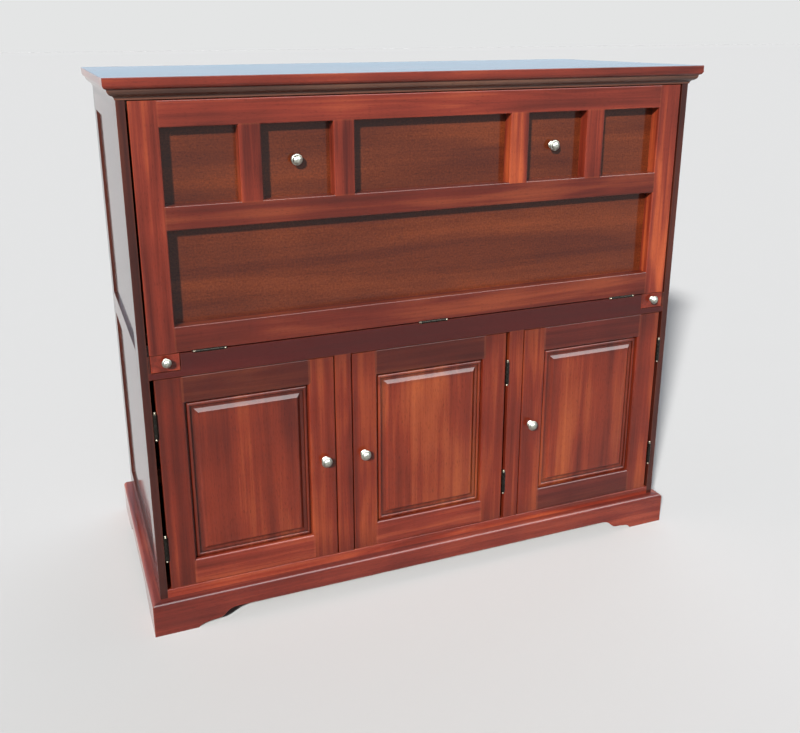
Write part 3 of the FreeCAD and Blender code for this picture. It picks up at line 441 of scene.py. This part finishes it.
# Painted shade darkens the top slope of each door panel and the hollows of its moulding.
ribbon_panel = mahogany("mahogany_ribbon_veneer_lacquer", "Z", RIBBON_RED, ribbon_mm=30,
                        ribbon=0.55, figure=0.4, darker_bands=[(0.555, 0.566, 0.3)], hollows=0.75)
side_panel = mahogany("mahogany_side_veneer_lacquer", "Z", SIDE_PAINTED_SHADE, figure=0.8)
side_stile = mahogany("mahogany_side_lacquer_grain_z", "Z", SIDE_PAINTED_SHADE)
side_rail = mahogany("mahogany_side_lacquer_grain_y", "Y", SIDE_PAINTED_SHADE)
fall_veneer = mahogany("mahogany_brown_veneer_lacquer", "X", BROWN_FALL, ribbon=0.2, figure=0.2,
                       rough=0.38, fleck=0.35)

# %% [markdown]
# Inside, the boards got one thin satin coat and shine little. The drawer boxes, the cleats and
# the back are a cheaper wood, meranti, stained and left matt, so they look pale and dry.

# %% Boards of the inside
INSIDE_RED = ("#45190e", "#652b19", "#824026")
PLAIN_BROWN = ("#643a24", "#835233", "#9f6c46")
inside = {
    along: mahogany(f"mahogany_stained_satin_grain_{along.lower()}", along, INSIDE_RED,
                    gloss=0.2, rough=0.45)
    for along in "XZ"}
plain = {
    along: mahogany(f"meranti_stained_matt_grain_{along.lower()}", along, PLAIN_BROWN,
                    gloss=0.0, rough=0.6)
    for along in "XYZ"}

# %% Dress the boards
FINISHES = [
    (outside["X"], ["top_board", "bottom_rail", "top_rail",
                    "left_drawer_front", "right_drawer_front"]),
    (outside["Y"], ["plinth_returns", "left_loper", "right_loper"]),
    (fall_stile, ["fall_stiles", "fall_mullions"]),
    (door_stile, ["face_mullions", "left_door_stiles", "middle_door_stiles", "right_door_stiles"]),
    (plinth_wood, ["plinth_front"]),
    (crown_wood["X"], ["crown_front"]),
    (crown_wood["Y"], ["crown_returns"]),
    (side_stile, ["left_side_stiles", "right_side_stiles"]),
    (side_rail, ["left_side_rails", "right_side_rails", "loper_guides"]),
    (painted_shade_rail, ["desk_rail"]),
    (fall_rail, ["fall_rails"]),
    (door_rail, ["left_door_rails", "middle_door_rails"]),
    (dark_door_rail, ["right_door_rails"]),
    (side_panel, ["left_side_panels", "right_side_panels"]),
    (fall_veneer, ["fall_writing_board"]),
    (inside["X"], ["bottom_board", "dust_board", "desk_board",
                   "cupboard_shelves", "gallery_shelves"]),
    (inside["Z"], ["partitions", "gallery_dividers"]),
    (plain["X"], ["plinth_braces", "left_drawer_box", "right_drawer_box"]),
    (plain["Y"], ["shelf_cleats"]),
    (plain["Z"], ["back_panels"]),
]


def dress(node, material):
    """Gives every face of a CAD board this material."""
    mesh = nodes[node].data
    mesh.materials.clear()
    mesh.materials.append(material)


for material, boards in FINISHES:
    for board in boards:
        dress(board, material)
print("dressed", sum(len(boards) for _, boards in FINISHES), "groups of boards")

# %% [markdown]
# ## Metal
#
# The knobs are cast zinc with a brushed pewter plate, which gives a soft grey shine with a few
# darker clouds. The hinges are steel with an oil-rubbed bronze finish: nearly black on the
# leaves, and worn bright on the balls that fingers and cloths rub. The magnet catches are plain
# zinc-plated steel.

# %% Metal finishes
# Scratches are far finer than this on real plate, and drawn 0.6 mm wide so that they show.
SCRATCH_MM = 0.6
# How much of the tarnish colour shows where the tarnish is thickest.
TARNISH_MOST = 0.7


def metal(name, colour, tarnish, rough, tarnish_mm):
    """A plated metal with tarnish in clouds and fine scratches in every direction."""
    plate, output = new_material(name)
    place = add(plate, "ShaderNodeTexCoord").outputs["Object"]
    cloud = add(plate, "ShaderNodeTexNoise", {
        "Vector": place, "Scale": per_metre(tarnish_mm), "Detail": 4}).outputs[0]
    amount = add(plate, "ShaderNodeMapRange", {
        "Value": cloud, "From Min": 0.42, "From Max": 0.68,
        "To Min": 0, "To Max": TARNISH_MOST}).outputs[0]
    tarnished = add(plate, "ShaderNodeMix", {
        "Factor": amount, 6: linear(colour), 7: linear(tarnish)}, data_type="RGBA").outputs[2]
    scratches = add(plate, "ShaderNodeTexNoise", {
        "Vector": place, "Scale": per_metre(SCRATCH_MM), "Detail": 3}).outputs[0]
    roughness = add(plate, "ShaderNodeMapRange", {
        "Value": scratches, "From Min": 0.3, "From Max": 0.7,
        "To Min": rough - 0.06, "To Max": rough + 0.1}).outputs[0]
    bump = add(plate, "ShaderNodeBump", {
        "Height": scratches, "Strength": 0.08, "Distance": 0.2 * MM}).outputs[0]
    shader = add(plate, "ShaderNodeBsdfPrincipled", {
        "Base Color": tarnished, "Metallic": 1, "Roughness": roughness, "Normal": bump})
    plate.node_tree.links.new(shader.outputs[0], output.inputs[0])
    return plate


pewter = metal("zinc_casting_brushed_pewter_plate", "#a9a99e", "#6d6d63", 0.36, 5)
bronze = metal("steel_oil_rubbed_bronze", "#2c2a26", "#151310", 0.42, 4)
worn_bronze = metal("steel_bronze_worn_bright", "#8f8878", "#4a4238", 0.3, 3)
steel = metal("steel_zinc_plated", "#a9abad", "#6d6f70", 0.4, 6)
dress("magnet_catches", steel)

# %% [markdown]
# ## Turned knobs
#
# A knob is cast, then turned on a lathe, so it is the same all the way round. We draw half of
# its outline as a chain of points, round each corner by its own amount, and spin the chain. The
# outline has a flat foot, a waist to hook a finger behind, a thick rim, a fine step and a crown.

# %% The outline of a knob, in millimetres
# Each corner is its distance from the axis, its height above the foot, and its rounding.
KNOB_OUTLINE = [
    (0, 0, 0), (9.4, 0, 0), (9.4, 1.3, 0.5), (6.8, 2.7, 0.9), (4.9, 5.2, 1.6), (4.6, 9.2, 1.6),
    (6.4, 11.6, 1.2), (12.4, 13.4, 0.9), (13.7, 15.0, 0.7), (13.7, 16.6, 0.7), (11.8, 18.6, 0.6),
    (10.9, 18.5, 0.25), (10.3, 19.5, 0.35), (8.6, 22.6, 1.4), (4.6, 24.6, 1.4), (0, 25, 0)]
KNOB_RADIUS, KNOB_LONG = 13.7, 25
KNOB_STEPS = 48
MERGE_DISTANCE = 0.01 * MM


def turned(outline, steps):
    """A closed shape turned round Z from an outline in millimetres."""
    lathe = bmesh.new()
    chain = [lathe.verts.new((radius * MM, 0, height * MM)) for radius, height, _ in outline]
    for a, b in zip(chain, chain[1:]):
        lathe.edges.new((a, b))
    for corner, (_, _, rounding) in zip(chain, outline):
        if rounding:
            bmesh.ops.bevel(lathe, geom=[corner], offset=rounding * MM, offset_type="OFFSET",
                            affect="VERTICES", segments=3, profile=0.5, material=-1)
    bmesh.ops.spin(lathe, geom=lathe.verts[:] + lathe.edges[:], cent=(0, 0, 0), axis=(0, 0, 1),
                   angle=math.tau, steps=steps, use_merge=True)
    bmesh.ops.remove_doubles(lathe, verts=lathe.verts[:], dist=MERGE_DISTANCE)
    bmesh.ops.recalc_face_normals(lathe, faces=lathe.faces[:])
    return lathe


# %% [markdown]
# A finished piece is an object at the origin, with its place in its mesh. It is shaded smooth
# except where two faces meet at a real corner, rides on the body that carries it, and hides
# the CAD solid it stands for.

# %% Hand over a finished piece
CORNER = math.radians(38)


def hand_over(name, shape, body, material, replaced):
    """Makes an object of a bmesh and ties it to the frame."""
    mesh = bpy.data.meshes.new(name)
    shape.to_mesh(mesh)
    shape.free()
    mesh.shade_smooth()
    mesh.set_sharp_from_angle(angle=CORNER)
    mesh.materials.append(material)
    piece = bpy.data.objects.new(name, mesh)
    bpy.context.scene.collection.objects.link(piece)
    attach(piece, body)
    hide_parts(*replaced)
    return piece


# %% Turn every knob to its CAD size
FACING_FRONT = Matrix.Rotation(math.radians(90), 4, "X")


def fit_knob(name, body, node, low_x, high_x):
    """A turned knob in place of the CAD one between low_x and high_x."""
    low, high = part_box(node)
    wider = (high_x - low_x) / (2 * KNOB_RADIUS * MM)
    longer = (high.y - low.y) / (KNOB_LONG * MM)
    size = Matrix.Diagonal((wider, wider, longer, 1))
    place = Matrix.Translation(((low_x + high_x) / 2, high.y, (low.z + high.z) / 2))
    knob = turned(KNOB_OUTLINE, KNOB_STEPS)
    knob.transform(place @ FACING_FRONT @ size)
    hand_over(name, knob, body, pewter, [node])


for body in frame["bodies"]:
    if body + "_knob" in nodes:
        low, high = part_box(body + "_knob")
        fit_knob(body + "_turned_knob", body, body + "_knob", low.x, high.x)
low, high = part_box("fall_knobs")
knob_wide = high.z - low.z
fit_knob("fall_left_turned_knob", "fall", "fall_knobs", low.x, low.x + knob_wide)
fit_knob("fall_right_turned_knob", "fall", "fall_knobs", high.x - knob_wide, high.x)
print("knobs are", round(knob_wide / MM, 1), "mm across")

# %% [markdown]
# ## Raised door panels
#
# A raised panel is one board that floats in the grooves of the door's frame. A moulding cutter
# has run round its face: next to the frame is a narrow groove, then a round bead nearly as high
# as the frame, then a hollow channel, and a slope with a soft shoulder up to the flat field. We
# start from a thin box and inset its front face again and again: each inset goes a little
# inwards and a little up or down, so the corners are mitred as the cutter leaves them.

# %% The moulding, in millimetres inwards and forwards from the step before
PANEL_MOULDING = [
    (9.2, 0), (0.3, 1.6), (1.6, 1.7), (2.4, 1.8), (2.0, 0.9), (1.2, 0.1),
    (1.0, -0.6), (1.0, -1.5), (0.5, -1.7), (0.3, -1.3), (6.4, -0.5),
    (2.2, 1.3), (2.6, 2.1), (2.4, 2.1), (1.8, 1.5), (1.3, 0.7), (1.5, 0.2)]
PANEL_FLOOR = 8.4  # how far the box's front lies behind the highest point of the CAD panel


def raised_panel(door):
    """The raised panel of a door, in the room of its CAD panel."""
    low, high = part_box(door + "_panel")
    board = bmesh.new()
    corners = bmesh.ops.create_cube(board, size=1)["verts"]
    front = low.y + PANEL_FLOOR * MM
    size = Vector((high.x - low.x, high.y - front, high.z - low.z))
    bmesh.ops.scale(board, vec=size, verts=corners)
    middle = ((low.x + high.x) / 2, (front + high.y) / 2, (low.z + high.z) / 2)
    bmesh.ops.translate(board, vec=middle, verts=corners)
    # The field is the one face of the box that looks to the front.
    field = [face for face in board.faces if face.normal.y < -0.9]
    for inwards, forwards in PANEL_MOULDING:
        bmesh.ops.inset_region(board, faces=field, thickness=inwards * MM, depth=forwards * MM,
                               use_even_offset=True)
    print(door, "panel field stands at y", round(field[0].calc_center_median().y, 4))
    hand_over(door + "_raised_panel", board, door, ribbon_panel, [door + "_panel"])


for door in ("left_door", "middle_door", "right_door"):
    raised_panel(door)

# %% [markdown]
# ## Butt hinges
#
# Each hinge is two steel leaves with knuckles that mesh round one pin, and a ball on each end
# of the pin. We build it lying along Z with the pin at the origin: the fixed leaf at +X, the
# moving one at -X, both running to +Y. Five knuckles are shared out, three to the fixed leaf.
# A leaf is a plate, a tongue to each of its own knuckles, and three slotted screws.

# %% Parts of a hinge
KNUCKLES = 5
KNUCKLE_GAP = 0.4 * MM
LEAF_EASE, TONGUE_EASE, RIM_EASE = 0.3 * MM, 0.2 * MM, 0.35 * MM
SCREW_RADIUS, SCREW_HIGH = 2.9 * MM, 0.35 * MM
SCREW_TAPER = 0.84
KNUCKLE_SIDES, SCREW_SIDES = 28, 20
SLOT_WIDE, SLOT_DEEP = 0.7 * MM, 0.7 * SCREW_HIGH
# The outer screws stand this share of the leaf's length from the middle one, and the middle
# one stands further from the pin than they do.
SCREW_SPREAD = 0.34
SCREW_STAGGER = 1 * MM
# A finial's outline is drawn like a knob's, in radii of its ball.
FINIAL_STEPS = 24
FINIAL_OUTLINE = [
    (0, -0.6, 0), (0.8, -0.6, 0), (1.05, -0.3, 0.15), (1.05, 0.1, 0.15), (0.62, 0.35, 0.1),
    (0.75, 0.6, 0.1), (1.0, 1.1, 0.22), (0.98, 1.5, 0.22), (0.62, 1.95, 0.25), (0, 2.1, 0)]


def plate(shape, low, high, ease):
    """Adds a plate between two corners, with eased edges."""
    corners = bmesh.ops.create_cube(shape, size=1)["verts"]
    low, high = Vector(low), Vector(high)
    bmesh.ops.scale(shape, vec=high - low, verts=corners)
    bmesh.ops.translate(shape, vec=(low + high) / 2, verts=corners)
    edges = list({edge for corner in corners for edge in corner.link_edges})
    bmesh.ops.bevel(shape, geom=edges, offset=ease, offset_type="OFFSET", affect="EDGES",
                    segments=2, profile=0.5, material=-1)


def knuckle(shape, radius, low, high):
    """Adds a rolled knuckle with eased rims."""
    ring = bmesh.ops.create_cone(shape, cap_ends=True, segments=KNUCKLE_SIDES, radius1=radius,
                                 radius2=radius, depth=high - low)["verts"]
    bmesh.ops.translate(shape, vec=(0, 0, (low + high) / 2), verts=ring)
    rims = list({edge for v in ring for edge in v.link_edges
                 if abs(edge.verts[0].co.z - edge.verts[1].co.z) < KNUCKLE_GAP})
    bmesh.ops.bevel(shape, geom=rims, offset=RIM_EASE, offset_type="OFFSET", affect="EDGES",
                    segments=2, profile=0.5, material=-1)


def slotted_screw(turn):
    """A low screw head facing +Z at the origin, its slot turned by an angle."""
    head = bmesh.new()
    bmesh.ops.create_cone(head, cap_ends=True, segments=SCREW_SIDES, radius1=SCREW_RADIUS,
                          radius2=SCREW_TAPER * SCREW_RADIUS, depth=SCREW_HIGH)
    for side in (-1, 1):
        bmesh.ops.bisect_plane(head, geom=head.verts[:] + head.edges[:] + head.faces[:],
                               plane_co=(side * SLOT_WIDE / 2, 0, 0), plane_no=(1, 0, 0))
    slot = [face for face in head.faces
            if face.normal.z > 0.9 and abs(face.calc_center_median().x) < SLOT_WIDE / 2]
    floor_of_slot = [v for v in bmesh.ops.extrude_face_region(head, geom=slot)["geom"]
                     if isinstance(v, bmesh.types.BMVert)]
    bmesh.ops.delete(head, geom=slot, context="FACES_ONLY")
    bmesh.ops.translate(head, vec=(0, 0, -SLOT_DEEP), verts=floor_of_slot)
    bmesh.ops.recalc_face_normals(head, faces=head.faces[:])
    head.transform(Matrix.Translation((0, 0, SCREW_HIGH / 2)) @ Matrix.Rotation(turn, 4, "Z"))
    return head


def add_shape(shape, other, place):
    """Adds another bmesh to a shape, put in place, and frees it."""
    carrier = bpy.data.meshes.new("carrier")
    other.transform(place)
    other.to_mesh(carrier)
    other.free()
    shape.from_mesh(carrier)
    bpy.data.meshes.remove(carrier)


def hinge_leaf(side, length, barrel, near, far, reach, turns):
    """One leaf: side 1 is the fixed one at +X and side -1 the moving one.

    It lies between near and far from the pin and runs back to reach. turns are the angles of
    the slots of its screws.
    """
    leaf = bmesh.new()
    pitch = length / KNUCKLES
    clear = barrel + KNUCKLE_GAP
    xs = sorted((side * near, side * far))
    plate(leaf, (xs[0], clear, -length / 2), (xs[1], reach, length / 2), LEAF_EASE)
    for i in range(0 if side > 0 else 1, KNUCKLES, 2):
        low = -length / 2 + i * pitch + KNUCKLE_GAP / 2
        high = low + pitch - KNUCKLE_GAP
        plate(leaf, (xs[0], 0, low), (xs[1], clear + MM, high), TONGUE_EASE)
        knuckle(leaf, barrel, low, high)
    facing = Matrix.Rotation(math.radians(-90 * side), 4, "Y")
    for i, turn in enumerate(turns):
        level = (i - 1) * SCREW_SPREAD * length
        across = (clear + reach) / 2 + (SCREW_STAGGER if i == 1 else -SCREW_STAGGER)
        spot = Matrix.Translation((side * near, across, level))
        add_shape(leaf, slotted_screw(turn), spot @ facing)
    return leaf


def hinge_pin(length, finial):
    """The ball finials that close both ends of the pin."""
    pin = bmesh.new()
    for end in (1, -1):
        outline = [[finial * measure for measure in corner] for corner in FINIAL_OUTLINE]
        ball = turned(outline, FINIAL_STEPS)
        facing = Matrix.Rotation(0 if end > 0 else math.pi, 4, "X")
        add_shape(pin, ball, Matrix.Translation((0, 0, end * length / 2)) @ facing)
    return pin


# %% Where the hinges are
DOOR_BARREL, FALL_BARREL = 4.6 * MM, 3.2 * MM
DOOR_HINGE_LONG, FALL_HINGE_LONG = 62 * MM, 68 * MM
# How far the near and the far face of a leaf lie from the pin, and how far back it reaches.
DOOR_LEAF = (3.2 * MM, 5 * MM, 22 * MM)
FALL_LEAF = (1 * MM, 2.6 * MM, 20 * MM)
# The radius of the finials' balls, in millimetres.
DOOR_FINIAL, FALL_FINIAL = 3, 2.6
TURNED_OVER = Matrix.Rotation(math.pi, 4, "Y")
LAID_DOWN = Matrix.Rotation(math.radians(90), 4, "Y")

hinges = []
for door in ("left_door", "middle_door", "right_door"):
    low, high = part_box(door + "_hinge_leaves")
    on_left = door == "left_door"
    pin_x = low.x + DOOR_BARREL if on_left else high.x - DOOR_BARREL
    levels = {"lower": low.z + DOOR_HINGE_LONG / 2, "upper": high.z - DOOR_HINGE_LONG / 2}
    for level, z in levels.items():
        place = Matrix.Translation((pin_x, low.y + DOOR_BARREL, z))
        if on_left:
            place = place @ TURNED_OVER
        hinges.append((f"{door}_{level}", door, place,
                       DOOR_HINGE_LONG, DOOR_BARREL, DOOR_LEAF, DOOR_FINIAL))
low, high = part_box("fall_hinge_leaves")
spots = {
    "left": low.x + FALL_HINGE_LONG / 2, "middle": 0, "right": high.x - FALL_HINGE_LONG / 2}
for spot, x in spots.items():
    place = Matrix.Translation((x, low.y + FALL_BARREL, (low.z + high.z) / 2)) @ LAID_DOWN
    hinges.append((f"fall_{spot}", "fall", place,
                   FALL_HINGE_LONG, FALL_BARREL, FALL_LEAF, FALL_FINIAL))
print(len(hinges), "hinges")

# %% Make the hinges
screw_turns = random.Random(7)
for name, body, place, length, barrel, leaf, finial in hinges:
    leaves = [("fixed", 1, "case", "hinge_fixed_leaves"),
              ("moving", -1, body, body + "_hinge_leaves")]
    for kind, side, rider, node in leaves:
        turns = [screw_turns.uniform(0, math.pi) for _ in range(3)]
        shape = hinge_leaf(side, length, barrel, *leaf, turns)
        shape.transform(place)
        hand_over(f"{name}_{kind}_leaf", shape, rider, bronze, [node])
    pin = hinge_pin(length, finial)
    pin.transform(place)
    hand_over(f"{name}_finials", pin, "case", worn_bronze, ["hinge_pins"])
